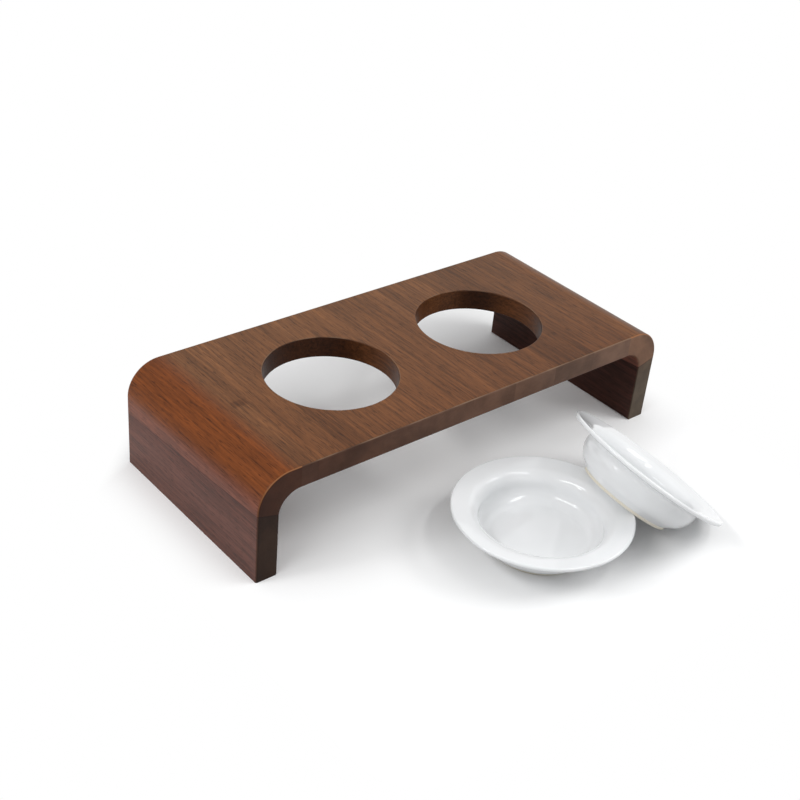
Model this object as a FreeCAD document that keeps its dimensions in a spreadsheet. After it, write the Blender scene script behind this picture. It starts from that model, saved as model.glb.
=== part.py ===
import FreeCAD, Part
import os

import Sketcher

# Double cat bowl: a wooden bench stand with two round holes, and two flanged bowls that drop into them.
# One bowl stands on the floor in front of the stand, the other leans on the first one's flange.
# Millimetres. X runs along the stand, Y from front to back, Z up.
# The origin is on the floor under the stand's middle.

DRIVING_SIZES = {
    # stand
    "stand_length": 400,
    "stand_depth": 174,
    "stand_height": 86.5,
    "board_thickness": 18,
    "outer_bend_radius": 27,
    "inner_bend_radius": 17.5,
    "front_edge_radius": 1.5,
    "leg_foot_radius": 1.8,
    "hole_edge_radius": 1,
    # staves of the top
    "narrow_stave_width": 14,
    "end_joint_offset": 2,
    # joint between corner block and leg, measured in the middle of the board
    "leg_joint_height": 49,
    "leg_joint_bevel": 15.5,
    "leg_joint_slant": 3.9,
    # dowels in the corner blocks' joints
    "dowel_radius": 3,
    "dowel_length": 24,
    "dowel_clearance": 0.1,
    "dowel_end_gap": 1,
    "dowel_pitch": 44,
    # bowls, drawn for a hole of the pattern radius and scaled to the hole that the stand has
    "pattern_hole_radius": 51.6,
    "bowl_height": 32,
    "bowl_clearance": 1.4,
    "bowl_wall": 3.8,
    "bowl_wall_height": 14.3,
    "belly_radius": 16,
    "flange_overlap": 16.4,
    "flange_thickness": 3.2,
    "flange_rise": 3.5,
    "flange_edge_radius": 1.5,
    "under_flange_radius": 6,
    "lip_radius": 10,
    "well_wall_height": 15.2,
    "well_shoulder_radius": 8,
    "well_floor_radius": 38,
    "well_floor_fillet": 12,
    "floor_thickness": 3.4,
    "foot_radius": 37,
    "foot_ring_width": 2.5,
    "foot_ring_height": 4.6,
    "foot_ring_shown": 2.2,
    "foot_edge_radius": 0.8,
    # where the bowls are put down
    "bowl_to_stand_gap": 10,
    "flat_bowl_offset": 2,
    "lean_tilt": 36.25,
    "lean_heading": 12.2,
    "lean_gap": 0.4,
    # how far cutting blocks reach past the wood
    "cut_margin": 5,
}
WIDE_STAVES = 7
SPAN_RATIO = 3.5  # between the holes' middles, in widths of a wide stave
HOLE_RATIO = 1.2  # from a hole's middle to its edge, in the same widths
DOWELS_PER_JOINT = 4
STAVES_CUT_BY_HOLES = (4, 7, 8)
LARGEST_EDGE_SHARE = 0.45  # of the flange's thickness, for the rounding of its edge
LEG_BLOCK_BOARDS = 4  # width of the block that cuts off a leg, in board thicknesses

# Sizes that follow from the driving ones, as formulas in the same sheet.
DERIVED_SIZES = {
    "top_joint": "stand_length / 2 - board_thickness - inner_bend_radius",
    "wide_stave_width": f"(2 * top_joint - 2 * narrow_stave_width) / {WIDE_STAVES}",
    "hole_spacing": f"wide_stave_width * {SPAN_RATIO}",
    "hole_radius": f"wide_stave_width * {HOLE_RATIO}",
    "bowl_scale": "hole_radius / pattern_hole_radius",
}

document = FreeCAD.newDocument("double_cat_bowl")
sheet = document.addObject("Spreadsheet::Sheet", "Sizes")
cells = {name: str(size) for name, size in DRIVING_SIZES.items()}
cells.update({name: f"={formula}" for name, formula in DERIVED_SIZES.items()})
for row, (name, content) in enumerate(cells.items(), start=1):
    sheet.set(f"A{row}", name)
    sheet.setAlias(f"B{row}", name)
    sheet.set(f"B{row}", content)
document.recompute()


def size_of(expression):
    """Return the number that an expression over the sheet gives now."""
    value = sheet.evalExpression(expression)
    return float(getattr(value, "Value", value))


def named(label):
    """Write a sheet cell's name the way expressions need it."""
    return f"Sizes.{label}"


HALF_LENGTH = f"({named('stand_length')} / 2)"
HALF_DEPTH = f"({named('stand_depth')} / 2)"
HEIGHT = named("stand_height")
BOARD = named("board_thickness")
MARGIN = named("cut_margin")
TOP_JOINT = named("top_joint")
LEG_MIDDLE = f"({HALF_LENGTH} - {BOARD} / 2)"
TOP_MIDDLE = f"({HEIGHT} - {BOARD} / 2)"

sub_parts = []


def sub_part(piece, label):
    """Name a finished piece and put it on the list to be written."""
    piece.Label = label
    sub_parts.append(piece)
    return piece


def bind(piece, **expressions):
    """Tie properties of a document object to the sheet."""
    for name, expression in expressions.items():
        piece.setExpression(name, expression)


def place(piece, x, y, z, turn="rotation(vector(0; 0; 1); 0)"):
    """Tie a piece's place, and its turn, to the sheet."""
    piece.setExpression("Placement", f"placement(vector({x}; {y}; {z}); {turn})")


def block(name, low, high):
    """Add a box between two corners given as expressions."""
    box = document.addObject("Part::Box", name)
    bind(
        box,
        Length=f"{high[0]} - ({low[0]})",
        Width=f"{high[1]} - ({low[1]})",
        Height=f"{high[2]} - ({low[2]})",
    )
    place(box, *low)
    return box


def new_sketch(body, name, plane):
    """Attach an empty sketch to one of a body's own origin planes."""
    sketch = body.newObject("Sketcher::SketchObject", name)
    support = [item for item in body.Origin.OriginFeatures if item.Role == plane]
    sketch.AttachmentSupport = [(support[0], "")]
    sketch.MapMode = "FlatFace"
    return sketch


def hold(sketch, geometry, vertex, direction, expression):
    """Fix one coordinate of a sketch point to an expression."""
    value = size_of(expression)
    axis = {"DistanceX": -2, "DistanceY": -1}[direction]
    if abs(value) < 1e-9:
        sketch.addConstraint(Sketcher.Constraint("PointOnObject", geometry, vertex, axis))
        return
    ends = (-1, 1, geometry, vertex) if value > 0 else (geometry, vertex, -1, 1)
    index = sketch.addConstraint(Sketcher.Constraint(direction, *ends, abs(value)))
    sign = "" if value > 0 else "-"
    sketch.setExpression(f"Constraints[{index}]", f"{sign}({expression})")


def polygon(sketch, corners):
    """Draw a closed polygon whose corners are pairs of expressions."""
    points = [FreeCAD.Vector(size_of(x), size_of(y), 0) for x, y in corners]
    count = len(points)
    for start in range(count):
        sketch.addGeometry(Part.LineSegment(points[start], points[(start + 1) % count]))
    for start in range(count):
        sketch.addConstraint(Sketcher.Constraint("Coincident", start, 2, (start + 1) % count, 1))
    for start, (x, y) in enumerate(corners):
        hold(sketch, start, 1, "DistanceX", x)
        hold(sketch, start, 1, "DistanceY", y)


def round_edges(body, feature, name, radius, wanted):
    """Round the edges of a feature that a test picks, with a radius tied to the sheet."""
    document.recompute()
    edges = [f"Edge{i}" for i, edge in enumerate(feature.Shape.Edges, start=1) if wanted(edge)]
    if not edges:
        raise ValueError(f"no edge found for {name}")
    fillet = body.newObject("PartDesign::Fillet", name)
    fillet.Base = (feature, edges)
    bind(fillet, Radius=radius)
    document.recompute()
    return fillet


def near(value, target):
    return abs(value - target) < 1e-4


# The stand's blank: one bent-U outline across the depth, rounded and bored, then divided into its boards.


def along_depth(x, z):
    """Pick the straight edges that run front to back at a given place."""

    def wanted(edge):
        points = [vertex.Point for vertex in edge.Vertexes]
        level = len(points) == 2 and near(points[0].x, points[1].x) and near(points[0].z, points[1].z)
        return level and near(abs(points[0].x), size_of(x)) and near(points[0].z, size_of(z))

    return wanted


def hole_rim(edge):
    return isinstance(edge.Curve, Part.Circle) and near(edge.Curve.Radius, size_of(named("hole_radius")))


def on_front_or_back(edge):
    """Pick the outline of the front and back faces, but not the ends that stand on the floor."""
    box = edge.BoundBox
    on_face = near(box.YLength, 0) and near(abs(box.YMin), size_of(HALF_DEPTH))
    return on_face and not near(box.ZMax, 0)


def make_blank():
    blank = document.addObject("PartDesign::Body", "stand_blank")
    outline = new_sketch(blank, "bench_outline", "XZ_Plane")
    inside = f"({HALF_LENGTH} - {BOARD})"
    underside = f"{HEIGHT} - {BOARD}"
    polygon(
        outline,
        [
            (f"-{HALF_LENGTH}", "0"),
            (f"-{HALF_LENGTH}", HEIGHT),
            (HALF_LENGTH, HEIGHT),
            (HALF_LENGTH, "0"),
            (inside, "0"),
            (inside, underside),
            (f"-{inside}", underside),
            (f"-{inside}", "0"),
        ],
    )
    bench = blank.newObject("PartDesign::Pad", "bench")
    bench.Profile = outline
    bench.SideType = "Symmetric"
    bind(bench, Length=named("stand_depth"))
    outer_corners = along_depth(HALF_LENGTH, HEIGHT)
    outer = round_edges(blank, bench, "outer_bends", named("outer_bend_radius"), outer_corners)
    inner_corners = along_depth(inside, underside)
    inner = round_edges(blank, outer, "inner_bends", named("inner_bend_radius"), inner_corners)

    circles = new_sketch(blank, "bowl_hole_circles", "XY_Plane")
    for number, side in enumerate(("-", "")):
        centre = f"{side}{named('hole_spacing')} / 2"
        middle = FreeCAD.Vector(size_of(centre), 0, 0)
        circles.addGeometry(Part.Circle(middle, FreeCAD.Vector(0, 0, 1), size_of(named("hole_radius"))))
        hold(circles, number, 3, "DistanceX", centre)
        hold(circles, number, 3, "DistanceY", "0")
        index = circles.addConstraint(Sketcher.Constraint("Radius", number, size_of(named("hole_radius"))))
        circles.setExpression(f"Constraints[{index}]", named("hole_radius"))
    holes = blank.newObject("PartDesign::Pocket", "bowl_holes")
    holes.Profile = circles
    holes.Type = "ThroughAll"
    holes.Reversed = True
    document.recompute()
    if not holes.Shape.Volume < inner.Shape.Volume:
        raise ValueError("the bowl holes cut nothing")

    rims = round_edges(blank, holes, "hole_rims", named("hole_edge_radius"), hole_rim)
    blank.Tip = round_edges(blank, rims, "front_and_back_edges", named("front_edge_radius"), on_front_or_back)
    document.recompute()
    return blank


# The lower inner edge of each leg is rounded over: a corner block less a rod along the leg is taken off it.


def make_foot_reliefs():
    reliefs = []
    radius = named("leg_foot_radius")
    face = f"({HALF_LENGTH} - {BOARD})"
    depth = f"({HALF_DEPTH} + {MARGIN})"
    for side, low_x, high_x, middle in (
        ("left", f"-{face} - {radius}", f"-{face} + {MARGIN}", f"-{face} - {radius}"),
        ("right", f"{face} - {MARGIN}", f"{face} + {radius}", f"{face} + {radius}"),
    ):
        corner = block(f"{side}_foot_corner", (low_x, f"-{depth}", f"-{MARGIN}"), (high_x, depth, radius))
        rod = document.addObject("Part::Cylinder", f"{side}_foot_rod")
        bind(rod, Radius=radius, Height=f"2 * {depth} + 2 * {MARGIN}")
        place(rod, middle, f"{depth} + {MARGIN}", radius, "rotation(vector(1; 0; 0); 90)")
        reliefs.append(cut(f"{side}_foot_relief", corner, rod))
    return reliefs


# Dowels stand half in each board of a joint. Their holes are wider and longer by named clearances.


def dowel_row(name, x, heights, turn, reach):
    """Make the dowels of one joint and the holes that they sit in."""
    dowels = []
    holes = []
    for number in range(DOWELS_PER_JOINT):
        y = f"({number} - {(DOWELS_PER_JOINT - 1) / 2}) * {named('dowel_pitch')}"
        for pieces, spare_radius, spare_end in (
            (dowels, "0", "0"),
            (holes, named("dowel_clearance"), named("dowel_end_gap")),
        ):
            kind = "dowel" if pieces is dowels else "dowel_hole"
            rod = document.addObject("Part::Cylinder", f"{name}_{kind}_{number + 1}")
            bind(
                rod,
                Radius=f"{named('dowel_radius')} + {spare_radius}",
                Height=f"{named('dowel_length')} + 2 * {spare_end}",
            )
            start = f"-({named('dowel_length')} / 2 + {spare_end})"
            place(
                rod,
                f"{x} + {start} * {reach[0]}",
                y,
                f"{heights.format(y=y)} + {start} * {reach[1]}",
                turn,
            )
            pieces.append(rod)
    group = document.addObject("Part::Compound", f"{name}_dowels")
    group.Links = dowels
    sub_part(group, f"{name}_dowels")
    return holes


def make_dowels():
    upright = "rotation(vector(0; 0; 1); 0)"
    lying = "rotation(vector(0; 1; 0); 90)"
    joint_height = f"{named('leg_joint_height')} - {{y}} * tan({named('leg_joint_slant')} * 1 deg)"
    holes = []
    for side, sign in (("left", "-"), ("right", "")):
        holes += dowel_row(f"{side}_top", f"{sign}{TOP_JOINT}", TOP_MIDDLE, lying, (1, 0))
        holes += dowel_row(f"{side}_leg", f"{sign}{LEG_MIDDLE}", joint_height, upright, (0, 1))
    return holes


# The blank is divided into staves, corner blocks and legs, so that neighbours meet face to face.


def common(name, wood, region):
    shared = document.addObject("Part::Common", name)
    shared.Base = wood
    shared.Tool = region
    return shared


def cut(name, wood, tool):
    rest = document.addObject("Part::Cut", name)
    rest.Base = wood
    rest.Tool = tool
    return rest


def make_staves(wood):
    narrow = named("narrow_stave_width")
    wide = named("wide_stave_width")
    left_end = f"-{TOP_JOINT}"
    bounds = [left_end, f"{left_end} + {narrow}"]
    bounds += [f"{left_end} + 2 * {narrow} + {wide} * {count}" for count in range(WIDE_STAVES + 1)]
    front = f"-({HALF_DEPTH} + {MARGIN})"
    back = f"{HALF_DEPTH} + {MARGIN}"
    under = f"{HEIGHT} - {BOARD} - {MARGIN}"
    over = f"{HEIGHT} + {MARGIN}"
    for number, (start, end) in enumerate(zip(bounds, bounds[1:]), start=1):
        lengths = [("", front, back)]
        if number == 1:
            joint = f"-{named('end_joint_offset')}"
            lengths = [("_front", front, joint), ("_back", joint, back)]
        if number in STAVES_CUT_BY_HOLES:
            lengths = [("_front", front, "0"), ("_back", "0", back)]
        for ending, near_y, far_y in lengths:
            label = f"top_stave_{number}{ending}"
            region = block(f"{label}_region", (start, near_y, under), (end, far_y, over))
            sub_part(common(label, wood, region), label)


def leg_region(side, sign, bevel):
    """Add a tilted block whose upper face is the joint between a corner block and its leg."""
    region = document.addObject("Part::Box", f"{side}_leg_region")
    reach = f"({BOARD} * {LEG_BLOCK_BOARDS})"
    across = f"(2 * {HALF_DEPTH} + {LEG_BLOCK_BOARDS} * {MARGIN})"
    tall = f"({HEIGHT} + {BOARD})"
    bind(region, Length=reach, Width=across, Height=tall)
    tilt = (
        f"rotation(vector(0; 1; 0); {bevel}{named('leg_joint_bevel')})"
        f" * rotation(vector(1; 0; 0); -{named('leg_joint_slant')})"
    )
    joint = f"placement(vector({sign}{LEG_MIDDLE}; 0; {named('leg_joint_height')}); {tilt})"
    corner = f"placement(vector(-{reach} / 2; -{across} / 2; -{tall}); rotation(vector(0; 0; 1); 0))"
    region.setExpression("Placement", f"{joint} * {corner}")
    return region


def make_ends(wood):
    depth = f"{HALF_DEPTH} + {MARGIN}"
    far = f"{HALF_LENGTH} + {MARGIN}"
    over = f"{HEIGHT} + {MARGIN}"
    for side, sign, bevel in (("left", "-", ""), ("right", "", "-")):
        legs = leg_region(side, sign, bevel)
        sub_part(common(f"{side}_leg", wood, legs), f"{side}_leg")
        low_x, high_x = (f"-({far})", f"-{TOP_JOINT}") if sign else (TOP_JOINT, far)
        end = block(f"{side}_end_region", (low_x, f"-({depth})", f"-{MARGIN}"), (high_x, depth, over))
        sub_part(cut(f"{side}_corner", common(f"{side}_end", wood, end), legs), f"{side}_corner")


# The bowls: a revolved profile with a dished flange, a well and a foot ring.


def bowl_size(label):
    """Scale a bowl's size from the sheet to the hole that it drops into."""
    return f"({named(label)} * {named('bowl_scale')})"


BODY_RADIUS = f"({named('hole_radius')} - {bowl_size('bowl_clearance')})"
WELL_RADIUS = f"({BODY_RADIUS} - {bowl_size('bowl_wall')})"
FLANGE_RADIUS = f"({named('hole_radius')} + {bowl_size('flange_overlap')})"
BOWL_TOP = bowl_size("bowl_height")
LIP_HEIGHT = f"({BOWL_TOP} - {bowl_size('flange_rise')})"
FLANGE_SLOPE = f"({bowl_size('flange_rise')} / ({FLANGE_RADIUS} - {WELL_RADIUS}))"
FLANGE_EDGE_BASE = f"({BOWL_TOP} - {bowl_size('flange_thickness')})"
FLANGE_ROOT = f"({FLANGE_EDGE_BASE} - ({FLANGE_RADIUS} - {BODY_RADIUS}) * {FLANGE_SLOPE})"
BELLY_HEIGHT = f"({FLANGE_ROOT} - {bowl_size('bowl_wall_height')})"
SHOULDER_HEIGHT = f"({LIP_HEIGHT} - {bowl_size('well_wall_height')})"
FOOT_RADIUS = bowl_size("foot_radius")
RING_HEIGHT = bowl_size("foot_ring_height")
RING_INSIDE = f"({FOOT_RADIUS} - {bowl_size('foot_ring_width')})"
FLOOR_HEIGHT = f"({RING_HEIGHT} + {bowl_size('floor_thickness')})"


def circle_at(*places):
    """Pick the round edges at given radius and height pairs."""
    targets = [(size_of(radius), size_of(height)) for radius, height in places]

    def wanted(edge):
        if not isinstance(edge.Curve, Part.Circle):
            return False
        return any(near(edge.Curve.Radius, r) and near(edge.Curve.Center.z, z) for r, z in targets)

    return wanted


def make_bowl(label):
    body = document.addObject("PartDesign::Body", label)
    profile = new_sketch(body, f"{label}_profile", "XZ_Plane")
    polygon(
        profile,
        [
            ("0", RING_HEIGHT),
            (RING_INSIDE, RING_HEIGHT),
            (RING_INSIDE, "0"),
            (FOOT_RADIUS, "0"),
            (FOOT_RADIUS, bowl_size("foot_ring_shown")),
            (BODY_RADIUS, BELLY_HEIGHT),
            (BODY_RADIUS, FLANGE_ROOT),
            (FLANGE_RADIUS, FLANGE_EDGE_BASE),
            (FLANGE_RADIUS, BOWL_TOP),
            (WELL_RADIUS, LIP_HEIGHT),
            (WELL_RADIUS, SHOULDER_HEIGHT),
            (bowl_size("well_floor_radius"), FLOOR_HEIGHT),
            ("0", FLOOR_HEIGHT),
        ],
    )
    turned = body.newObject("PartDesign::Revolution", f"{label}_turned")
    turned.Profile = profile
    turned.ReferenceAxis = (profile, ["V_Axis"])
    turned.Angle = 360
    largest_edge = f"{bowl_size('flange_thickness')} * {LARGEST_EDGE_SHARE}"
    flange_edge = f"min({bowl_size('flange_edge_radius')}; {largest_edge})"
    flange_corners = circle_at((FLANGE_RADIUS, BOWL_TOP), (FLANGE_RADIUS, FLANGE_EDGE_BASE))
    foot_corners = circle_at((RING_INSIDE, "0"), (FOOT_RADIUS, "0"), (RING_INSIDE, RING_HEIGHT))
    roundings = [
        ("flange_edge", flange_edge, flange_corners),
        ("lip", bowl_size("lip_radius"), circle_at((WELL_RADIUS, LIP_HEIGHT))),
        ("under_flange", bowl_size("under_flange_radius"), circle_at((BODY_RADIUS, FLANGE_ROOT))),
        ("belly", bowl_size("belly_radius"), circle_at((BODY_RADIUS, BELLY_HEIGHT))),
        ("shoulder", bowl_size("well_shoulder_radius"), circle_at((WELL_RADIUS, SHOULDER_HEIGHT))),
        ("floor", bowl_size("well_floor_fillet"), circle_at((bowl_size("well_floor_radius"), FLOOR_HEIGHT))),
        ("foot", bowl_size("foot_edge_radius"), foot_corners),
    ]
    feature = turned
    for name, radius, wanted in roundings:
        feature = round_edges(body, feature, f"{label}_{name}", radius, wanted)
    body.Tip = feature
    return sub_part(body, label)


def make_bowls():
    flat = make_bowl("flat_bowl")
    flat_x = f"-{named('flat_bowl_offset')}"
    flat_y = f"-({HALF_DEPTH} + {named('bowl_to_stand_gap')} + {FLANGE_RADIUS})"
    place(flat, flat_x, flat_y, "0")

    # The leaning bowl stands on the lowest point of its foot ring, and the hollow of its foot lies on the
    # flat bowl's round flange edge, all in the upright plane through both bowls' middles.
    leaning = make_bowl("leaning_bowl")
    tilt = f"({named('lean_tilt')} * 1 deg)"
    heading = f"({named('lean_heading')} * 1 deg)"
    half_edge = f"({bowl_size('flange_thickness')} / 2)"
    edge_lift = f"{bowl_size('foot_edge_radius')} * (sin{tilt} + cos{tilt} - 1)"
    foot_rise = f"({FOOT_RADIUS} * sin{tilt} - {edge_lift})"
    edge_rise = f"({BOWL_TOP} - {half_edge} - {foot_rise}) * cos{tilt}"
    edge_depth = f"({RING_HEIGHT} - {bowl_size('lean_gap')} - {half_edge})"
    reach = f"({FLANGE_RADIUS} - {half_edge} + ({edge_rise} - {edge_depth}) / sin{tilt})"
    turn = (
        f"rotation(vector(0; 0; 1); -{named('lean_heading')})"
        f" * rotation(vector(0; 1; 0); {named('lean_tilt')})"
    )
    place(
        leaning,
        f"{flat_x} + {reach} * cos{heading}",
        f"{flat_y} - {reach} * sin{heading}",
        foot_rise,
        turn,
    )


def check_and_write():
    """Stop if any object failed, then write each sub-part to its own file."""
    document.recompute()
    for item in document.Objects:
        if any(state in ("Invalid", "Error") for state in item.State):
            raise ValueError(f"{item.Label} failed: {item.State}")
    os.makedirs("parts", exist_ok=True)
    for piece in sub_parts:
        shape = piece.Shape
        if shape.isNull() or not shape.isValid() or not shape.Solids:
            raise ValueError(f"{piece.Label} has no valid solid")
    for piece in sub_parts:
        shape = piece.Shape
        shape.exportStep(f"parts/{piece.Label}.step")
        print(f"{piece.Label}: {len(shape.Solids)} solid(s), {shape.Volume / 1000:.1f} cm3")


removed = document.addObject("Part::Compound", "holes_and_reliefs")
removed.Links = make_dowels() + make_foot_reliefs()
bored = cut("bored_blank", make_blank(), removed)
make_staves(bored)
make_ends(bored)
make_bowls()
check_and_write()
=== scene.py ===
import math

import bpy
from mathutils import Matrix, Vector


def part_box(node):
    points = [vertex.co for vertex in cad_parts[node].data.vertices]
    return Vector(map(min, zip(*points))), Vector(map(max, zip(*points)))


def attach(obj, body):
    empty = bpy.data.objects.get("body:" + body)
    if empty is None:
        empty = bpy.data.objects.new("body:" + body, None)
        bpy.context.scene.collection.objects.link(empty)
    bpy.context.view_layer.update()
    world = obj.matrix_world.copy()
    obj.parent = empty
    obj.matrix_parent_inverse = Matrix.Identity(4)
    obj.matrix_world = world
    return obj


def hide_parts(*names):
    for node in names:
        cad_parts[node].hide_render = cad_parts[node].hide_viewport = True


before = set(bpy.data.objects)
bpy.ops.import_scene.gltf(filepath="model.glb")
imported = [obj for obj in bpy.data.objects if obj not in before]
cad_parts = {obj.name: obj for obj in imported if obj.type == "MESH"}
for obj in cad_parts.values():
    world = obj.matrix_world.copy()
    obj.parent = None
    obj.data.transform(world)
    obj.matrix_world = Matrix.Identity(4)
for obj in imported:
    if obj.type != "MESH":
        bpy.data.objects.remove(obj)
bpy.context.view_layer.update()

MM = 0.001

# The stand's sizes, repeated from the part in metres.
STAND_LENGTH = 400 * MM
STAND_DEPTH = 174 * MM
STAND_TOP = 86.5 * MM
BOARD = 18 * MM
HOLE_RADIUS = 51.6 * MM
HOLE_SPACING = 150.5 * MM
TOP_END = 164.5 * MM
NARROW_STAVE = 14 * MM
WIDE_STAVE = 43 * MM
END_JOINT_Y = -2 * MM
LEG_JOINT_HEIGHT = 49 * MM
LEG_JOINT_BEVEL = math.radians(15.5)
LEG_JOINT_SLANT = math.radians(3.9)
END_REACH = STAND_LENGTH / 2
END_FACE = STAND_DEPTH / 2
UNDERSIDE = STAND_TOP - BOARD

# The bowl's turned profile, repeated from the part in metres. The flange is a hair smaller than the part's,
# whose many-sided mesh lies just inside its true circle, so that the turned bowl stays in the part's box.
FLANGE_TRIM = 0.07 * MM
FLANGE_RADIUS = 68 * MM - FLANGE_TRIM
FLANGE_THICKNESS = 3.2 * MM
FLANGE_RISE = 3.5 * MM
FLANGE_EDGE_RADIUS = 1.44 * MM
UNDER_FLANGE_RADIUS = 6 * MM
BOWL_HEIGHT = 32 * MM
BODY_RADIUS = 50.2 * MM
BODY_WALL_HEIGHT = 14.3 * MM
BELLY_RADIUS = 16 * MM
WELL_RADIUS = 46.4 * MM
WELL_WALL_HEIGHT = 15.2 * MM
LIP_RADIUS = 10 * MM
SHOULDER_RADIUS = 8 * MM
WELL_FLOOR_RADIUS = 38 * MM
WELL_FLOOR_HEIGHT = 8 * MM
WELL_FLOOR_FILLET = 12 * MM
FOOT_RADIUS = 37 * MM
FOOT_RING_WIDTH = 2.5 * MM
FOOT_RING_HEIGHT = 4.6 * MM
FOOT_RING_SHOWN = 2.2 * MM
FOOT_EDGE_RADIUS = 0.8 * MM
FOOT_ROOT_RADIUS = 0.5 * MM
LEAN_TILT = math.radians(36.25)
LEAN_HEADING = math.radians(-12.2)
TURN_STEPS = 160
DEGREES_PER_SEGMENT = 6
FEWEST_SEGMENTS = 3
SMOOTH_BELOW = math.radians(40)


# Shader node helpers


def clear_material(name):
    """Start a material with nothing in it but its output and one Principled shader."""
    material = bpy.data.materials.new(name)
    material.use_nodes = True
    tree = material.node_tree
    tree.nodes.clear()
    output = tree.nodes.new("ShaderNodeOutputMaterial")
    shader = tree.nodes.new("ShaderNodeBsdfPrincipled")
    tree.links.new(shader.outputs["BSDF"], output.inputs["Surface"])
    return material, tree, shader


def feed(tree, socket, source):
    """Join a socket to another node's output, or set it to a plain value."""
    if isinstance(source, bpy.types.NodeSocket):
        tree.links.new(source, socket)
    elif source is not None:
        socket.default_value = source


def calculate(tree, operation, first, second=None, third=None):
    node = tree.nodes.new("ShaderNodeMath")
    node.operation = operation
    for socket, source in zip(node.inputs, (first, second, third)):
        feed(tree, socket, source)
    return node.outputs["Value"]


def vector_calculate(tree, operation, first, second=None):
    node = tree.nodes.new("ShaderNodeVectorMath")
    node.operation = operation
    feed(tree, node.inputs[0], first)
    feed(tree, node.inputs[1], second)
    return node.outputs["Value" if operation == "LENGTH" else "Vector"]


def blend_colours(tree, factor, first, second, kind="MIX"):
    node = tree.nodes.new("ShaderNodeMix")
    node.data_type = "RGBA"
    node.blend_type = kind
    feed(tree, node.inputs["Factor"], factor)
    feed(tree, node.inputs["A"], first)
    feed(tree, node.inputs["B"], second)
    return node.outputs["Result"]


def between(tree, value, low, high, start=0.0, end=1.0, smooth=True):
    """Rise from one value to another while a value goes from low to high."""
    node = tree.nodes.new("ShaderNodeMapRange")
    node.interpolation_type = "SMOOTHSTEP" if smooth else "LINEAR"
    feed(tree, node.inputs["Value"], value)
    feed(tree, node.inputs["From Min"], low)
    feed(tree, node.inputs["From Max"], high)
    feed(tree, node.inputs["To Min"], start)
    feed(tree, node.inputs["To Max"], end)
    return node.outputs["Result"]


def noise(tree, vector, scale, detail=2.0, roughness=0.5):
    node = tree.nodes.new("ShaderNodeTexNoise")
    feed(tree, node.inputs["Vector"], vector)
    node.inputs["Scale"].default_value = scale
    node.inputs["Detail"].default_value = detail
    node.inputs["Roughness"].default_value = roughness
    return node.outputs["Fac"]


def split(tree, vector):
    node = tree.nodes.new("ShaderNodeSeparateXYZ")
    feed(tree, node.inputs["Vector"], vector)
    return node.outputs["X"], node.outputs["Y"], node.outputs["Z"]


def join(tree, x, y, z):
    node = tree.nodes.new("ShaderNodeCombineXYZ")
    feed(tree, node.inputs["X"], x)
    feed(tree, node.inputs["Y"], y)
    feed(tree, node.inputs["Z"], z)
    return node.outputs["Vector"]


def own_place(tree):
    return tree.nodes.new("ShaderNodeTexCoord").outputs["Object"]


def seen_ray(tree):
    """Be 1 for what the camera sees, straight on or in a shiny or clear surface."""
    ray = tree.nodes.new("ShaderNodeLightPath").outputs
    mirrored = calculate(tree, "MAXIMUM", ray["Is Glossy Ray"], ray["Is Transmission Ray"])
    return calculate(tree, "MAXIMUM", ray["Is Camera Ray"], mirrored)


def bump(tree, height, distance, strength):
    node = tree.nodes.new("ShaderNodeBump")
    node.inputs["Strength"].default_value = strength
    node.inputs["Distance"].default_value = distance
    feed(tree, node.inputs["Height"], height)
    return node.outputs["Normal"]


def join_grey(tree, value):
    node = tree.nodes.new("ShaderNodeCombineColor")
    for socket in node.inputs:
        feed(tree, socket, value)
    return node.outputs["Color"]


def darken(tree, colour, value, share=1.0):
    """Multiply a colour by a grey value."""
    return blend_colours(tree, share, colour, join_grey(tree, value), "MULTIPLY")


def tone(tree, colour, mask, shade):
    """Multiply a colour by a shade where a mask is 1."""
    return blend_colours(tree, mask, colour, blend_colours(tree, 1.0, colour, shade, "MULTIPLY"))


def pick(tree, number, values):
    """Give the value at a place in a row, counted from 0."""
    value = values[0]
    for place, (before, after) in enumerate(zip(values, values[1:]), start=1):
        reached = calculate(tree, "GREATER_THAN", number, place - 0.5)
        value = calculate(tree, "MULTIPLY_ADD", reached, after - before, value)
    return value


def use_group(tree, group, **inputs):
    node = tree.nodes.new("ShaderNodeGroup")
    node.node_tree = group
    for name, source in inputs.items():
        feed(tree, node.inputs[name], source)
    return node.outputs


# Walnut: long fibres along the depth, growth rings about a heart that lies under each board, and open pores.

FIBRE_STRETCH = 0.04
CLOUD_STRETCH = 0.14
PORE_STRETCH = 0.07
WANDER_STRETCH = (1.0, 0.3, 1.0)
RING_SPACING = 3.4 * MM
RING_SWAY = 16 * MM
HEART_LEAN = 0.05
LATE_WOOD_POWER = 3.0
FIBRE_DARK = 0.54
FIBRE_LIGHT = 1.44
RING_DARK = 0.84
PORE_DARK = 0.54
END_RING_SHARE = 0.6
LACQUER_SMOOTH = 0.36
LACQUER_ROUGH = 0.46
END_ROUGHER = 0.16


def drawn_along(tree, place, stretch):
    """Draw a place's pattern out along the depth, as the fibres run."""
    x, y, z = split(tree, place)
    return join(tree, x, calculate(tree, "MULTIPLY", y, stretch), z)


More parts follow.
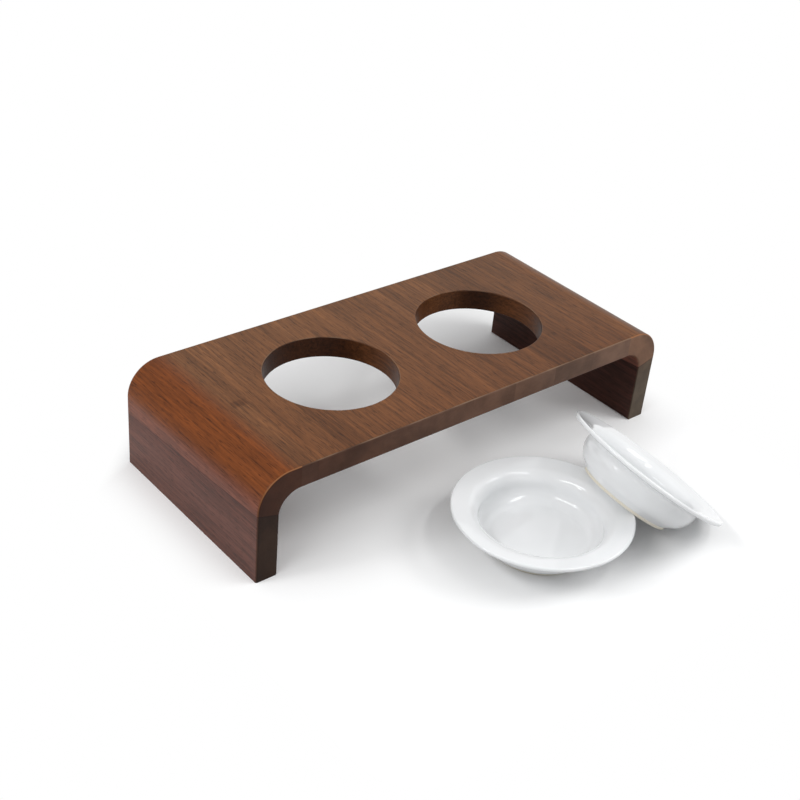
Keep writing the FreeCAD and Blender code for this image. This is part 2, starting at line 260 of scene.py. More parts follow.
def walnut_grain_group():
    group = bpy.data.node_groups.new("walnut_grain", "ShaderNodeTree")
    for name, kind in (("Place", "NodeSocketVector"), ("Heart", "NodeSocketVector")):
        group.interface.new_socket(name, in_out="INPUT", socket_type=kind)
    for name in ("Rings", "Clouds", "Fibres", "Pores"):
        group.interface.new_socket(name, in_out="OUTPUT", socket_type="NodeSocketFloat")
    inside = group.nodes.new("NodeGroupInput")
    outside = group.nodes.new("NodeGroupOutput")
    place = inside.outputs["Place"]
    heart = inside.outputs["Heart"]
    drawn_out = drawn_along(group, place, FIBRE_STRETCH)

    wander = noise(group, vector_calculate(group, "MULTIPLY", place, WANDER_STRETCH), scale=14.0)
    sway = calculate(group, "MULTIPLY", calculate(group, "SUBTRACT", wander, 0.5), RING_SWAY)
    from_heart = vector_calculate(group, "SUBTRACT", place, heart)
    heart_x, heart_y, heart_z = split(group, from_heart)
    leaning_x = calculate(group, "MULTIPLY_ADD", heart_y, HEART_LEAN, heart_x)
    radius = vector_calculate(group, "LENGTH", join(group, leaning_x, 0.0, heart_z))
    swayed = calculate(group, "ADD", radius, sway)
    turns = calculate(group, "DIVIDE", swayed, RING_SPACING)
    part_turn = calculate(group, "FRACT", turns)
    late_wood = calculate(group, "POWER", part_turn, LATE_WOOD_POWER)
    uneven = noise(group, drawn_out, scale=160.0, detail=3.0, roughness=0.6)
    rings = calculate(group, "MULTIPLY", late_wood, between(group, uneven, 0.35, 0.7))
    group.links.new(rings, outside.inputs["Rings"])

    clouds = noise(group, drawn_along(group, place, CLOUD_STRETCH), scale=38.0, detail=3.0, roughness=0.55)
    group.links.new(clouds, outside.inputs["Clouds"])
    fibres = noise(group, drawn_out, scale=520.0, detail=4.0, roughness=0.7)
    group.links.new(fibres, outside.inputs["Fibres"])
    specks = noise(group, drawn_along(group, place, PORE_STRETCH), scale=1500.0, detail=1.0)
    pores = between(group, specks, 0.56, 0.7)
    group.links.new(pores, outside.inputs["Pores"])
    return group


WALNUT_GRAIN = walnut_grain_group()


def near_end_face(tree, y):
    """Go from 0 to 1 over the rounded edge to the front and back faces, where the fibres end."""
    reach = calculate(tree, "ABSOLUTE", y)
    return between(tree, reach, END_FACE - 1.2 * MM, END_FACE - 0.35 * MM)


def walnut_colours(tree, grain, light, dark, end_light, end_dark, end_mask):
    """Mix the grain's masks into face colour, and into the duller colour of cut ends."""
    clouds = between(tree, grain["Clouds"], 0.22, 0.78)
    face = blend_colours(tree, clouds, dark, light)
    fibres = between(tree, grain["Fibres"], 0.3, 0.7, FIBRE_DARK, FIBRE_LIGHT, smooth=False)
    rings = between(tree, grain["Rings"], 0.0, 1.0, 1.0, RING_DARK, smooth=False)
    pores = between(tree, grain["Pores"], 0.0, 1.0, 1.0, PORE_DARK, smooth=False)
    for value in (fibres, rings, pores):
        face = darken(tree, face, value)
    ends = blend_colours(tree, between(tree, grain["Clouds"], 0.3, 0.7), end_dark, end_light)
    ends = darken(tree, ends, rings, END_RING_SHARE)
    return blend_colours(tree, end_mask, face, ends)


def lacquer(tree, shader, grain, colour, end_mask):
    """Satin lacquer: it fills most of the pores, and the cut ends drink it and stay duller."""
    feed(tree, shader.inputs["Base Color"], colour)
    sheen_break = between(tree, grain["Fibres"], 0.3, 0.7, LACQUER_SMOOTH, LACQUER_ROUGH, smooth=False)
    roughness = calculate(tree, "MULTIPLY_ADD", end_mask, END_ROUGHER, sheen_break)
    feed(tree, shader.inputs["Roughness"], roughness)
    shader.inputs["Specular IOR Level"].default_value = 0.1
    shader.inputs["Coat Weight"].default_value = 0.05
    shader.inputs["Coat Roughness"].default_value = 0.2
    raised = calculate(tree, "MULTIPLY", grain["Fibres"], 0.5)
    relief = calculate(tree, "MULTIPLY_ADD", grain["Pores"], -0.7, raised)
    feed(tree, shader.inputs["Normal"], bump(tree, relief, 0.08 * MM, 0.5))


# The hole walls' shades: darker for their cut grain and for painted shade down in the holes, with painted
# light on each wall's right side, as lit from the left, and on the right hole's left side.
HOLE_CUT_GRAIN_AND_SHADE = (0.24, 0.18, 0.14, 1)
HOLE_RIGHT_PAINTED_LIGHT = (0.69, 0.61, 0.55, 1)
RIGHT_HOLE_LEFT_PAINTED_LIGHT = (2.95, 3.5, 4.1, 1)


def past_hole_middle(tree, x):
    """Measure outwards along the stand from the middle of the nearer hole."""
    return calculate(tree, "SUBTRACT", calculate(tree, "ABSOLUTE", x), HOLE_SPACING / 2)


def from_hole_middle(tree, x, y):
    return vector_calculate(tree, "LENGTH", join(tree, past_hole_middle(tree, x), y, 0.0))


def inside_holes(tree, x, y):
    """Be 1 on the walls of the two bowl holes, from just below their rounded rims."""
    radius = from_hole_middle(tree, x, y)
    return between(tree, radius, HOLE_RADIUS + 0.3 * MM, HOLE_RADIUS + 0.9 * MM, 1.0, 0.0)


def hole_grain_and_painted_light(tree, x):
    """Darker cut grain and painted shade on a hole's wall, with painted light at its right and, in the right
    hole, at its left.
    """
    rightwards = calculate(tree, "MULTIPLY", past_hole_middle(tree, x), calculate(tree, "SIGN", x))
    share = between(tree, rightwards, 0.7 * HOLE_RADIUS, HOLE_RADIUS)
    shade = blend_colours(tree, share, HOLE_CUT_GRAIN_AND_SHADE, HOLE_RIGHT_PAINTED_LIGHT)
    at_left = between(tree, rightwards, 0.2 * HOLE_RADIUS, 0.65 * HOLE_RADIUS, 1.0, 0.0)
    in_right_hole = calculate(tree, "GREATER_THAN", x, 0.0)
    return tone(tree, shade, calculate(tree, "MULTIPLY", at_left, in_right_hole), RIGHT_HOLE_LEFT_PAINTED_LIGHT)


def on_underside(tree, z):
    return between(tree, z, UNDERSIDE + 0.1 * MM, UNDERSIDE + 1.0 * MM, 1.0, 0.0)


def end_edges(tree, y):
    """Be 1 on the rounded edges to the front and back faces."""
    reach = calculate(tree, "ABSOLUTE", y)
    edge = between(tree, reach, END_FACE - 1.1 * MM, END_FACE - 0.7 * MM)
    before_face = between(tree, reach, END_FACE - 0.35 * MM, END_FACE - 0.1 * MM, 1.0, 0.0)
    return calculate(tree, "MULTIPLY", edge, before_face)


def edge_painted_highlight(tree, x, y, z):
    """Be up to 1 on the rounded edges of the top and of the holes' rims: a painted highlight where lacquer
    catches the light.
    """
    radius = from_hole_middle(tree, x, y)
    past_wall = between(tree, radius, HOLE_RADIUS + 0.1 * MM, HOLE_RADIUS + 0.4 * MM)
    before_top = between(tree, radius, HOLE_RADIUS + 0.6 * MM, HOLE_RADIUS + 1.0 * MM, 1.0, 0.0)
    rim = calculate(tree, "MULTIPLY", past_wall, before_top)
    above = between(tree, z, STAND_TOP - 1.2 * MM, STAND_TOP - 0.9 * MM)
    edge = calculate(tree, "MULTIPLY", calculate(tree, "MAXIMUM", end_edges(tree, y), rim), above)
    # The painted highlight is broken up at random.
    painted_highlight_share = between(tree, noise(tree, own_place(tree), scale=45.0), 0.35, 0.65, 0.1, 0.6)
    return calculate(tree, "MULTIPLY", edge, painted_highlight_share)


# Painted light across the front and back faces: the cut ends are darker at the left and lighter at the
# right.
END_LEFT_PAINTED_SHADE = (0.55, 0.37, 0.32, 1)
END_RIGHT_PAINTED_LIGHT = (2.35, 2.6, 2.85, 1)


def end_painted_light(tree, x):
    """Painted light across the cut ends, from painted shade at the left to painted light at the right."""
    share = between(tree, x, -END_REACH, END_REACH, smooth=False)
    return blend_colours(tree, share, END_LEFT_PAINTED_SHADE, END_RIGHT_PAINTED_LIGHT)


def joint_mark(tree, x, y):
    """The dark spot where the two lengths of the first narrow stave meet."""
    across = calculate(tree, "ABSOLUTE", calculate(tree, "ADD", x, TOP_END - NARROW_STAVE / 2))
    along = calculate(tree, "ABSOLUTE", calculate(tree, "SUBTRACT", y, END_JOINT_Y + 3 * MM))
    mark = between(tree, across, 5 * MM, 7 * MM, 1.0, 0.0)
    return calculate(tree, "MULTIPLY", mark, between(tree, along, 2 * MM, 5 * MM, 1.0, 0.0))


def first_front_length(tree, x, y):
    """Be 1 on the lighter front length of the first narrow stave."""
    first = between(tree, x, -TOP_END + NARROW_STAVE - 2 * MM, -TOP_END + NARROW_STAVE, 1.0, 0.0)
    front = between(tree, y, END_JOINT_Y - 3 * MM, END_JOINT_Y - 1 * MM, 1.0, 0.0)
    return calculate(tree, "MULTIPLY", first, front)


# Tint of each stave from left to right, against the panel's own colour.
STAVE_TINTS = (0.93, 1.02, 0.97, 1.02, 1.02, 1.02, 0.92, 0.79, 0.88)
WIDE_STAVES = 7

# The panel's colours, and the shades that parts of it are multiplied by.
TOP_LIGHT = (0.182, 0.072, 0.027, 1)
TOP_DARK = (0.118, 0.045, 0.0165, 1)
TOP_END_LIGHT = (0.109, 0.0595, 0.0385, 1)
TOP_END_DARK = (0.0665, 0.0365, 0.024, 1)
TOP_EDGE_PAINTED_HIGHLIGHT = (0.24, 0.155, 0.1, 1)
# Painted sheen on the panel: darker at the front, greyer and lighter at the back.
TOP_FRONT_PAINTED_SHADE = (0.935, 0.885, 0.84, 1)
TOP_BACK_PAINTED_SHEEN = (1.14, 1.21, 1.26, 1)
# Painted shade on the panel's underside, under the stand.
UNDERSIDE_PAINTED_SHADE = (0.6, 0.58, 0.58, 1)
JOINT_MARK_SHADE = (0.74, 0.7, 0.66, 1)
FIRST_FRONT_SHADE = (1.12, 1.16, 1.2, 1)

# How far chance moves the wood's pattern and its heart from stave to stave.
PATTERN_SHIFT = (0.9, 2.0, 0.9)
HEART_SHIFT = (0.05, 0.4, 0.02)
HEART_HEIGHT = 0.03


def stave_edges():
    edges = [-TOP_END, -TOP_END + NARROW_STAVE]
    edges += [-TOP_END + 2 * NARROW_STAVE + WIDE_STAVE * count for count in range(WIDE_STAVES + 1)]
    return edges


def stave_number(tree, x):
    """Count the staves' edges to the left of a place."""
    number = 0.0
    for edge in stave_edges()[1:-1]:
        number = calculate(tree, "ADD", number, calculate(tree, "GREATER_THAN", x, edge))
    return number


def stave_middle(tree, number):
    edges = stave_edges()
    return pick(tree, number, [(low + high) / 2 for low, high in zip(edges, edges[1:])])


def random_places(tree, number):
    node = tree.nodes.new("ShaderNodeTexWhiteNoise")
    node.noise_dimensions = "1D"
    feed(tree, node.inputs["W"], number)
    return node.outputs["Color"]


def walnut_top_material():
    material, tree, shader = clear_material("walnut_top")
    place = own_place(tree)
    x, y, z = split(tree, place)
    number = stave_number(tree, x)
    luck = random_places(tree, calculate(tree, "MULTIPLY_ADD", number, 3.7, 1.3))
    shift = vector_calculate(tree, "MULTIPLY", luck, PATTERN_SHIFT)
    heart_luck = vector_calculate(tree, "SUBTRACT", luck, (0.5, 0.5, 0.5))
    heart_offset = vector_calculate(tree, "MULTIPLY", heart_luck, HEART_SHIFT)
    below_stave = join(tree, stave_middle(tree, number), 0.0, HEART_HEIGHT)
    heart = vector_calculate(tree, "ADD", vector_calculate(tree, "ADD", heart_offset, below_stave), shift)
    moved = vector_calculate(tree, "ADD", place, shift)
    grain = use_group(tree, WALNUT_GRAIN, Place=moved, Heart=heart)
    ends = near_end_face(tree, y)
    colour = walnut_colours(tree, grain, TOP_LIGHT, TOP_DARK, TOP_END_LIGHT, TOP_END_DARK, ends)
    colour = darken(tree, colour, pick(tree, number, STAVE_TINTS))
    # Painted sheen: the panel goes greyer and lighter towards the back, as if mirroring the bright room at a
    # low angle.
    backwards = between(tree, y, -END_FACE, END_FACE, smooth=False)
    painted_sheen = blend_colours(tree, backwards, TOP_FRONT_PAINTED_SHADE, TOP_BACK_PAINTED_SHEEN)
    colour = blend_colours(tree, 1.0, colour, painted_sheen, "MULTIPLY")
    # Painted light across the cut ends.
    colour = tone(tree, colour, ends, end_painted_light(tree, x))
    # Painted shade and painted light on the hole walls, over their darker cut grain.
    colour = tone(tree, colour, inside_holes(tree, x, y), hole_grain_and_painted_light(tree, x))
    # Painted shade on the underside of the panel.
    colour = tone(tree, colour, on_underside(tree, z), UNDERSIDE_PAINTED_SHADE)
    colour = tone(tree, colour, joint_mark(tree, x, y), JOINT_MARK_SHADE)
    colour = tone(tree, colour, first_front_length(tree, x, y), FIRST_FRONT_SHADE)
    # A painted highlight along the rounded edges of the top and the hole rims.
    colour = blend_colours(tree, edge_painted_highlight(tree, x, y, z), colour, TOP_EDGE_PAINTED_HIGHLIGHT)
    lacquer(tree, shader, grain, colour, ends)
    return material


STAIN_WAY = 13 * MM
INNER_PAINTED_SHADE = (0.43, 0.37, 0.34, 1)
GLUE_SHADE = (0.62, 0.6, 0.62, 1)

# Colours of the boards at the stand's two ends: low is a pinkish painted sheen on the corner block next to
# its joint with the leg, where the upright face mirrors the light room, and the leg's light and dark hold
# the same painted sheen mixed into the wood's own colour; right is what the right one's colours are
# multiplied by; edge is a painted highlight on the outer rounded end edges; joint is the shade of the wood
# next to that joint.
CORNER_WOOD = {
    "light": (0.202, 0.053, 0.0106, 1),
    "dark": (0.126, 0.034, 0.0077, 1),
    "low_light": (0.216, 0.0755, 0.0468, 1),
    "low_dark": (0.159, 0.0545, 0.0342, 1),
    "end_light": (0.096, 0.046, 0.0255, 1),
    "end_dark": (0.0575, 0.0275, 0.0155, 1),
    "right": (0.84, 1.2, 1.9, 1),
    "edge": (0.32, 0.13, 0.05, 1),
    "joint": (1, 1, 1, 1),
}
LEG_WOOD = {
    "light": (0.141, 0.057, 0.042, 1),
    "dark": (0.1, 0.0395, 0.029, 1),
    "low_light": (0.141, 0.057, 0.042, 1),
    "low_dark": (0.1, 0.0395, 0.029, 1),
    "end_light": (0.056, 0.0375, 0.0235, 1),
    "end_dark": (0.032, 0.0212, 0.0138, 1),
    "right": (0.85, 0.85, 0.75, 1),
    "edge": (0.22, 0.12, 0.085, 1),
    "joint": (0.97, 0.89, 0.85, 1),
}


def above_leg_joint(tree, reach, y, z):
    """Measure how far a place is above the slanted joint of corner block and leg."""
    outwards = calculate(tree, "SUBTRACT", reach, END_REACH - BOARD / 2)
    bevelled = calculate(tree, "MULTIPLY_ADD", outwards, -math.tan(LEG_JOINT_BEVEL), z)
    slope = math.tan(LEG_JOINT_SLANT) / math.cos(LEG_JOINT_BEVEL)
    height = calculate(tree, "MULTIPLY_ADD", y, slope, bevelled)
    return calculate(tree, "SUBTRACT", height, LEG_JOINT_HEIGHT)


def outer_side(tree, reach, z):
    """Be 1 on the outer half of the bent board."""
    past_middle = between(tree, reach, END_REACH - 0.7 * BOARD, END_REACH - 0.4 * BOARD)
    above_middle = between(tree, z, STAND_TOP - 0.7 * BOARD, STAND_TOP - 0.4 * BOARD)
    return calculate(tree, "MAXIMUM", past_middle, above_middle)


def walnut_board_material(name, wood, heart, inner_reach):
    """A solid board of one piece, such as a corner block or a leg, with painted shade on the side under the
    stand.
    """
    material, tree, shader = clear_material(name)
    place = own_place(tree)
    x, y, z = split(tree, place)
    reach = calculate(tree, "ABSOLUTE", x)
    grain = use_group(tree, WALNUT_GRAIN, Place=place, Heart=heart)
    ends = near_end_face(tree, y)
    at_right = calculate(tree, "GREATER_THAN", x, 0.0)
    above = above_leg_joint(tree, reach, y, z)
    above_leg = between(tree, above, 5 * MM, 21 * MM)
    past_joint = between(tree, reach, TOP_END - 2 * MM, TOP_END + STAIN_WAY)
    colours = []
    for shade, top_colour in (("light", TOP_LIGHT), ("dark", TOP_DARK)):
        high = tone(tree, wood[shade], at_right, wood["right"])
        # Next to the joint the corner block turns to its low colours, a painted sheen.
        own = blend_colours(tree, above_leg, wood["low_" + shade], high)
        colours.append(blend_colours(tree, past_joint, top_colour, own))
    light, dark = colours
    colour = walnut_colours(tree, grain, light, dark, wood["end_light"], wood["end_dark"], ends)
    # Painted light across the cut ends.
    colour = tone(tree, colour, ends, end_painted_light(tree, x))
    # Painted shade on the inner face, under the stand.
    inner = between(tree, reach, inner_reach - 0.5 * MM, inner_reach + 0.5 * MM, 1.0, 0.0)
    colour = tone(tree, colour, inner, INNER_PAINTED_SHADE)
    # A painted highlight on the outer rounded end edges, stronger higher up.
    upwards = between(tree, z, LEG_JOINT_HEIGHT, STAND_TOP, 0.15, 0.75)
    painted_highlight_share = calculate(tree, "MULTIPLY", end_edges(tree, y), upwards)
    painted_highlight_share = calculate(tree, "MULTIPLY", painted_highlight_share, outer_side(tree, reach, z))
    colour = blend_colours(tree, painted_highlight_share, colour, wood["edge"])
    colour = tone(tree, colour, between(tree, above, -22 * MM, 0.0), wood["joint"])
    glue_line = between(tree, calculate(tree, "ABSOLUTE", above), 0.2 * MM, 0.8 * MM, 1.0, 0.0)
    colour = tone(tree, colour, glue_line, GLUE_SHADE)
    lacquer(tree, shader, grain, colour, ends)
    return material


BEECH_DARK = (0.42, 0.27, 0.15, 1)
BEECH_LIGHT = (0.6, 0.42, 0.25, 1)


def dowel_material():
    material, tree, shader = clear_material("beech_dowel")
    flecks = noise(tree, own_place(tree), scale=900.0)
    colour = blend_colours(tree, flecks, BEECH_DARK, BEECH_LIGHT)
    feed(tree, shader.inputs["Base Color"], colour)
    shader.inputs["Roughness"].default_value = 0.7
    return material


# Glazed white ware with a bare foot ring

GLAZE_THIN = (0.842, 0.854, 0.862, 1)
GLAZE_POOLED = (0.872, 0.88, 0.888, 1)
BISQUE_DARK = (0.72, 0.67, 0.55, 1)
BISQUE_LIGHT = (0.8, 0.76, 0.66, 1)


def glaze_material():
    material, tree, shader = clear_material("white_glaze")
    place = own_place(tree)
    pooled = between(tree, noise(tree, place, scale=22.0), 0.3, 0.7)
    colour = blend_colours(tree, pooled, GLAZE_THIN, GLAZE_POOLED)
    feed(tree, shader.inputs["Base Color"], colour)
    orange_peel = noise(tree, place, scale=140.0, detail=1.0)
    feed(tree, shader.inputs["Roughness"], between(tree, orange_peel, 0.3, 0.7, 0.03, 0.06))
    ripple = noise(tree, place, scale=60.0, detail=1.0)
    feed(tree, shader.inputs["Normal"], bump(tree, ripple, 0.05 * MM, 0.35))
    return material


def bisque_material():
    material, tree, shader = clear_material("bare_foot_ring")
    grit = noise(tree, own_place(tree), scale=1500.0)
    colour = blend_colours(tree, between(tree, grit, 0.3, 0.7), BISQUE_DARK, BISQUE_LIGHT)
    feed(tree, shader.inputs["Base Color"], colour)
    shader.inputs["Roughness"].default_value = 0.75
    feed(tree, shader.inputs["Normal"], bump(tree, grit, 0.06 * MM, 0.5))
    return material


# The bowls are turned from a profile, as on a wheel.


def bowl_profile():
    """Corners from the middle of the foot's hollow to the middle of the well, each with its rounding."""
    flange_slope = FLANGE_RISE / (FLANGE_RADIUS - WELL_RADIUS)
    flange_under = BOWL_HEIGHT - FLANGE_THICKNESS
    flange_root = flange_under - (FLANGE_RADIUS - BODY_RADIUS) * flange_slope
    lip = BOWL_HEIGHT - FLANGE_RISE
    return [
        (0.0, FOOT_RING_HEIGHT, 0.0),
        (FOOT_RADIUS - FOOT_RING_WIDTH, FOOT_RING_HEIGHT, FOOT_EDGE_RADIUS),
        (FOOT_RADIUS - FOOT_RING_WIDTH, 0.0, FOOT_EDGE_RADIUS),
        (FOOT_RADIUS, 0.0, FOOT_EDGE_RADIUS),
        (FOOT_RADIUS, FOOT_RING_SHOWN, FOOT_ROOT_RADIUS),
        (BODY_RADIUS, flange_root - BODY_WALL_HEIGHT, BELLY_RADIUS),
        (BODY_RADIUS, flange_root, UNDER_FLANGE_RADIUS),
        (FLANGE_RADIUS, flange_under, FLANGE_EDGE_RADIUS),
        (FLANGE_RADIUS, BOWL_HEIGHT, FLANGE_EDGE_RADIUS),
        (WELL_RADIUS, lip, LIP_RADIUS),
        (WELL_RADIUS, lip - WELL_WALL_HEIGHT, SHOULDER_RADIUS),
        (WELL_FLOOR_RADIUS, WELL_FLOOR_HEIGHT, WELL_FLOOR_FILLET),
        (0.0, WELL_FLOOR_HEIGHT, 0.0),
    ]


def deselect_everything():
    bpy.ops.object.select_all(action="DESELECT")


def draw_profile(name, corners):
    """Extrude one point along the corners, then round each corner off."""
    deselect_everything()
    bpy.ops.mesh.primitive_plane_add(size=MM)
    piece = bpy.context.object
    piece.name = name
    bpy.ops.object.mode_set(mode="EDIT")
    bpy.ops.mesh.select_all(action="SELECT")
    bpy.ops.mesh.merge(type="CENTER")
    points = [Vector((radius, 0.0, height)) for radius, height, _ in corners]
    bpy.ops.transform.translate(value=points[0])
    for here, there in zip(points, points[1:]):
        bpy.ops.mesh.extrude_region_move(TRANSFORM_OT_translate={"value": there - here})
    bpy.ops.object.mode_set(mode="OBJECT")
    round_profile(piece, points, [rounding for _, _, rounding in corners])
    return piece


def round_profile(piece, points, roundings):
    """Bevel each corner between the two ends so that its arc has the wanted radius."""
    for place in range(1, len(points) - 1):
        before = (points[place - 1] - points[place]).normalized()
        after = (points[place + 1] - points[place]).normalized()
        turn = math.pi - before.angle(after)
        bpy.ops.object.mode_set(mode="EDIT")
        bpy.ops.mesh.select_all(action="DESELECT")
        bpy.ops.object.mode_set(mode="OBJECT")
        corner = min(piece.data.vertices, key=lambda vertex: (vertex.co - points[place]).length)
        corner.select = True
        bpy.ops.object.mode_set(mode="EDIT")
        bpy.ops.mesh.select_mode(type="VERT")
        segments = max(FEWEST_SEGMENTS, round(math.degrees(turn) / DEGREES_PER_SEGMENT))
        bpy.ops.mesh.bevel(
            offset_type="OFFSET",
            offset=roundings[place] * math.tan(turn / 2),
            segments=segments,
            profile=0.5,
            affect="VERTICES",
            clamp_overlap=False,
        )
        bpy.ops.object.mode_set(mode="OBJECT")


def turn_bowl(name):
    piece = draw_profile(name, bowl_profile())
    bpy.ops.object.mode_set(mode="EDIT")
    bpy.ops.mesh.select_all(action="SELECT")
    bpy.ops.mesh.spin(steps=TURN_STEPS, angle=2 * math.pi, center=(0, 0, 0), axis=(0, 0, 1))
    bpy.ops.mesh.select_all(action="SELECT")
    bpy.ops.mesh.remove_doubles(threshold=0.01 * MM)
    bpy.ops.mesh.normals_make_consistent(inside=False)
    bpy.ops.object.mode_set(mode="OBJECT")
    bpy.ops.object.shade_smooth_by_angle(angle=SMOOTH_BELOW)
    return piece


def leave_foot_bare(piece):
    """Give the foot ring's lower faces the bare clay, which no glaze covers where it stands in the kiln."""
    for face in piece.data.polygons:
        centre = face.center
        radius = math.hypot(centre.x, centre.y)
        on_ring = radius > FOOT_RADIUS - FOOT_RING_WIDTH - 0.2 * MM and centre.z < FOOT_RING_SHOWN
        if on_ring and radius < FOOT_RADIUS + 0.3 * MM:
            face.material_index = 1


def middle_of(low, high):
    return (Vector(low) + Vector(high)) / 2


def put(piece, place):
    """Move or turn a piece, and keep the new place in its mesh."""
    deselect_everything()
    piece.select_set(True)
    bpy.context.view_layer.objects.active = piece
    piece.matrix_world = place
    bpy.ops.object.transform_apply(location=True, rotation=True, scale=True)


def set_in_place(piece, node, turn):
    """Turn a bowl, move its box's middle to its CAD node's, and keep the place in its mesh."""
    put(piece, turn)
    corners = [vertex.co for vertex in piece.data.vertices]
    low = Vector([min(corner[axis] for corner in corners) for axis in range(3)])
    high = Vector([max(corner[axis] for corner in corners) for axis in range(3)])
    put(piece, Matrix.Translation(middle_of(*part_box(node)) - middle_of(low, high)))


def make_bowls(glaze, bisque):
    lean = Matrix.Rotation(LEAN_HEADING, 4, "Z") @ Matrix.Rotation(LEAN_TILT, 4, "Y")
    for node, body, turn in (
        ("flat_bowl", "flat_bowl_body", Matrix.Identity(4)),
        ("leaning_bowl", "leaning_bowl_body", lean),
    ):
        piece = turn_bowl(f"{node}_glazed")
        piece.data.materials.append(glaze)
        piece.data.materials.append(bisque)
        leave_foot_bare(piece)
        set_in_place(piece, node, turn)
        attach(piece, body)
        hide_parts(node)


def dress(node, material):
    """Give a CAD node's own mesh a better material."""
    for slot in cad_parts[node].material_slots:
        slot.material = material


def dress_stand():
    top = walnut_top_material()
    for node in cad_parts:
        if node.startswith("top_stave"):
            dress(node, top)
    corner = walnut_board_material("walnut_corner", CORNER_WOOD, (0.0, 0.0, -0.02), 0.0)
    inside_of_leg = END_REACH - BOARD + 0.8 * MM
    leg = walnut_board_material("walnut_leg", LEG_WOOD, (0.0, 0.05, 0.02), inside_of_leg)
    dowel = dowel_material()
    for side in ("left", "right"):
        dress(f"{side}_corner", corner)
        dress(f"{side}_leg", leg)
        dress(f"{side}_top_dowels", dowel)
        dress(f"{side}_leg_dowels", dowel)


# Floor, light and camera

CAMERA_AZIMUTH = math.radians(-42.26)
CAMERA_HEIGHT_ANGLE = math.radians(32.59)
CAMERA_ROLL = math.radians(5.51)
CAMERA_DISTANCE = 1086.97 * MM
CAMERA_ASIDE = 2.44 * MM
CAMERA_BELOW = 3.95 * MM
CAMERA_AIM = Vector((0.0, 0.0, 40 * MM))
CAMERA_LENS = 60.93
SENSOR_WIDTH = 36.0


def make_camera():
    data = bpy.data.cameras.new("camera")
    data.lens = CAMERA_LENS
    data.sensor_width = SENSOR_WIDTH
    camera = bpy.data.objects.new("camera", data)
    bpy.context.scene.collection.objects.link(camera)
    back = Vector(
        (
            math.sin(CAMERA_AZIMUTH) * math.cos(CAMERA_HEIGHT_ANGLE),
            -math.cos(CAMERA_AZIMUTH) * math.cos(CAMERA_HEIGHT_ANGLE),
            math.sin(CAMERA_HEIGHT_ANGLE),
        )
    )
    right = Vector((math.cos(CAMERA_AZIMUTH), math.sin(CAMERA_AZIMUTH), 0.0))
    up = back.cross(right)
    rolled_right = math.cos(CAMERA_ROLL) * right + math.sin(CAMERA_ROLL) * up
    rolled_up = -math.sin(CAMERA_ROLL) * right + math.cos(CAMERA_ROLL) * up
    place = CAMERA_AIM + back * CAMERA_DISTANCE - rolled_right * CAMERA_ASIDE - rolled_up * CAMERA_BELOW
    turn = Matrix((rolled_right, rolled_up, back)).transposed()
    camera.matrix_world = Matrix.Translation(place) @ turn.to_4x4()
    bpy.context.scene.camera = camera


FLOOR_SIZE = 8.0
FLOOR_DROP = 0.05 * MM
WHITE = (1.0, 1.0, 1.0, 1)
PAPER = (0.64, 0.64, 0.64, 1)
# The floor shows shadows in a box about the stand and the bowls, and fades to white a short way round it.
SHADOW_MIDDLE = (0.0, -0.0525, 0.0)
SHADOW_REACH = (0.195, 0.2025, 1.0)
SHADOW_FADE = 0.05
# The box's corner behind the left leg is cut off by a slanting line.
SHADOW_CORNER = 0.28
SHADOW_CORNER_FADE = 0.028


def make_floor():
    deselect_everything()
    bpy.ops.mesh.primitive_plane_add(size=FLOOR_SIZE, location=(0, 0, -FLOOR_DROP))
    floor = bpy.context.object
    floor.name = "studio_floor"
    floor.data.materials.append(paper_material())


def paper_material():
    """White paper that keeps the shadows by the object and is plain white to the camera farther out."""
    material, tree, shader = clear_material("studio_paper")
    ray = seen_ray(tree)
    paper = blend_colours(tree, ray, PAPER, WHITE)
    feed(tree, shader.inputs["Base Color"], paper)
    shader.inputs["Roughness"].default_value = 0.9
    shader.inputs["Specular IOR Level"].default_value = 0.1
    place = own_place(tree)
    from_middle = vector_calculate(tree, "SUBTRACT", place, SHADOW_MIDDLE)
    either_way = vector_calculate(tree, "ABSOLUTE", from_middle)
    beyond = vector_calculate(tree, "SUBTRACT", either_way, SHADOW_REACH)
    distance = vector_calculate(tree, "LENGTH", vector_calculate(tree, "MAXIMUM", beyond, (0, 0, 0)))
    floor_x, floor_y, _ = split(tree, place)
    slanting = calculate(tree, "SUBTRACT", floor_y, floor_x)
    corner = between(tree, slanting, SHADOW_CORNER, SHADOW_CORNER + SHADOW_CORNER_FADE)
    fade = calculate(tree, "MAXIMUM", between(tree, distance, 0.0, SHADOW_FADE), corner)
    fade = calculate(tree, "MULTIPLY", fade, ray)
    white = tree.nodes.new("ShaderNodeEmission")
    mix = tree.nodes.new("ShaderNodeMixShader")
    feed(tree, mix.inputs["Fac"], fade)
    tree.links.new(shader.outputs["BSDF"], mix.inputs[1])
    tree.links.new(white.outputs["Emission"], mix.inputs[2])
    output = next(node for node in tree.nodes if node.type == "OUTPUT_MATERIAL")
    tree.links.new(mix.outputs["Shader"], output.inputs["Surface"])
    return material


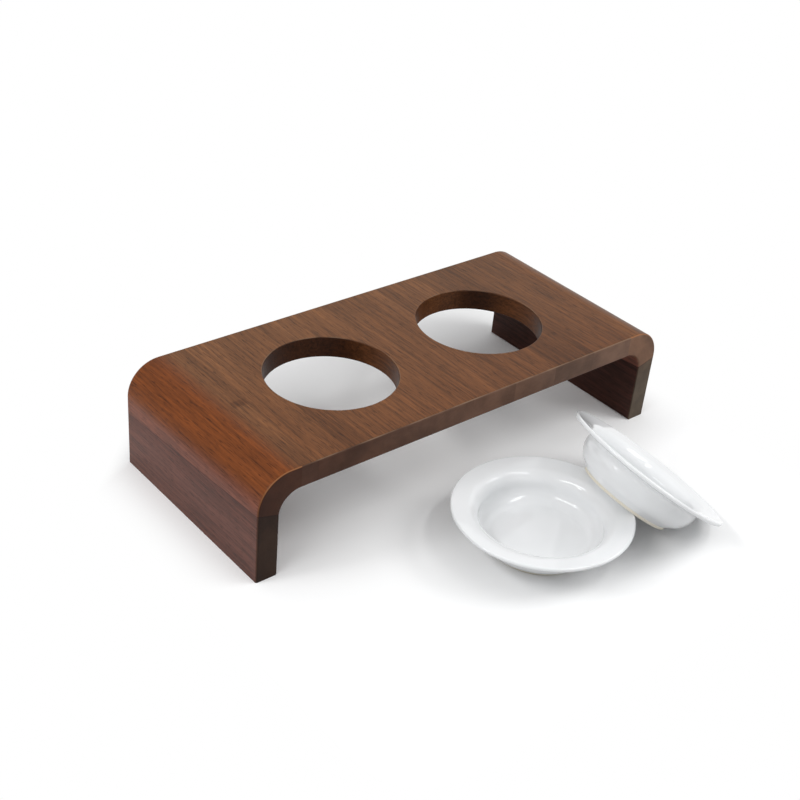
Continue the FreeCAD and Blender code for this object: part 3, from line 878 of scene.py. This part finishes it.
def softbox(name, place, aim, width, height, power):
    data = bpy.data.lights.new(name, "AREA")
    data.shape = "RECTANGLE"
    data.size = width
    data.size_y = height
    data.energy = power
    lamp = bpy.data.objects.new(name, data)
    bpy.context.scene.collection.objects.link(lamp)
    lamp.location = place
    lamp.rotation_euler = (Vector(aim) - Vector(place)).to_track_quat("-Z", "Y").to_euler()


TENT_LIGHT = 0.465
TENT_TOP_LIGHT = 0.76
TENT_COLOUR = (0.98, 0.99, 1.0, 1)
TENT_TOP_FROM = 0.6
TENT_TOP_TO = 0.98
LAMP_AIM = (0, -0.15, 0)


def make_world():
    """A white tent that is brightest overhead."""
    world = bpy.data.worlds.new("studio_air")
    bpy.context.scene.world = world
    world.use_nodes = True
    tree = world.node_tree
    tree.nodes.clear()
    output = tree.nodes.new("ShaderNodeOutputWorld")
    around = tree.nodes.new("ShaderNodeBackground")
    direction = tree.nodes.new("ShaderNodeTexCoord").outputs["Generated"]
    _, _, upwards = split(tree, direction)
    brightness = between(tree, upwards, TENT_TOP_FROM, TENT_TOP_TO, TENT_LIGHT, TENT_TOP_LIGHT)
    around.inputs["Color"].default_value = TENT_COLOUR
    feed(tree, around.inputs["Strength"], brightness)
    seen = tree.nodes.new("ShaderNodeBackground")
    seen.inputs["Color"].default_value = WHITE
    seen.inputs["Strength"].default_value = 1.0
    mix = tree.nodes.new("ShaderNodeMixShader")
    feed(tree, mix.inputs["Fac"], seen_ray(tree))
    tree.links.new(around.outputs["Background"], mix.inputs[1])
    tree.links.new(seen.outputs["Background"], mix.inputs[2])
    tree.links.new(mix.outputs["Shader"], output.inputs["Surface"])


def light_studio():
    make_world()
    softbox("left_box", (-0.85, -0.05, 0.9), LAMP_AIM, width=0.85, height=0.18, power=4.5)
    softbox("left_low_box", (-0.95, 0.16, 0.64), (0.07, -0.18, 0.04), width=0.15, height=0.15, power=1.0)
    softbox("right_box", (0.68, -0.6, 0.72), LAMP_AIM, width=0.5, height=0.35, power=3.1)
    softbox("upper_box", (0.28, -0.6, 1.1), LAMP_AIM, width=0.7, height=0.11, power=1.8)


bpy.context.scene.view_settings.view_transform = "Standard"
make_camera()
make_floor()
light_studio()
dress_stand()
make_bowls(glaze_material(), bisque_material())
